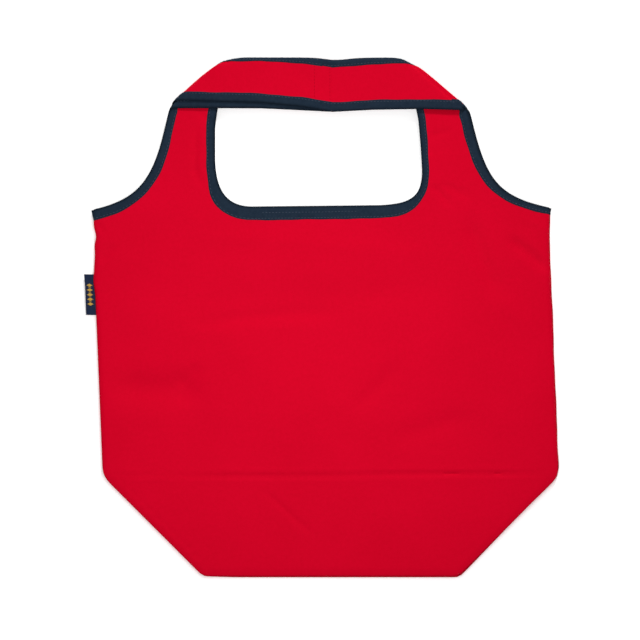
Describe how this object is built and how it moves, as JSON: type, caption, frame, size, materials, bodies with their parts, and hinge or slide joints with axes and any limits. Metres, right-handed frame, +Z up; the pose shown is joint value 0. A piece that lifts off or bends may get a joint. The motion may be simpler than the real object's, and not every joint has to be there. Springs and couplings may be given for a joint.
{
  "type": "foldable tote bag",
  "caption": "Foldable fabric tote bag laid flat, with taped mouth and armhole edges, looped handles folded at mitres, an inward gusset and a side label.",
  "frame": {"origin": "middle of the laid bag's outline, on the surface that it lies on", "axes": "+X to the bag's right seen from its front, +Y from the bottom fold towards the handles, +Z up out of the front"},
  "size_m": [0.4738, 0.519, 0.0106],
  "materials": {
    "cloth": "fine plain-weave red polyester, soft sheen",
    "binding": "navy woven bias tape, matt, stitched",
    "label": "navy woven damask label with gold stripes"
  },
  "bodies": {
    "bag_body": {"back_mouth_binding": "binding", "back_panel": "cloth", "front_mouth_binding": "binding", "front_panel": "cloth", "left_armhole_binding": "binding", "left_side_seam": "cloth", "right_armhole_binding": "binding", "right_side_seam": "cloth"},
    "bottom": {"back_bottom_panel": "cloth", "bottom_seam": "cloth", "front_bottom_panel": "cloth", "left_corner_seam": "cloth", "left_gusset_side_seam": "cloth", "right_corner_seam": "cloth", "right_gusset_side_seam": "cloth"},
    "handles": {"back_handle_inner_binding": "binding", "back_handle_outer_binding": "binding", "back_left_strap": "cloth", "back_right_strap": "cloth", "front_handle_inner_binding": "binding", "front_handle_outer_binding": "binding", "front_left_strap": "cloth", "front_right_strap": "cloth"},
    "side_label": {"side_label": "label"}
  },
  "joints": [
    {"name": "handles_fold", "type": "hinge", "parent": "bag_body", "child": "handles", "pos_m": [0, 0.146, 0.0103], "axis": [1, 0, 0], "range_deg": [0, 176]},
    {"name": "bottom_fold", "type": "hinge", "parent": "bag_body", "child": "bottom", "pos_m": [0, -0.1495, 0.0088], "axis": [-1, 0, 0], "range_deg": [0, 176]},
    {"name": "side_label_flex", "type": "hinge", "parent": "bag_body", "child": "side_label", "pos_m": [-0.22661, 0.02197, 0.0038], "axis": [-0.0375, 0.9993, 0], "range_deg": [-20, 80]}
  ]
}
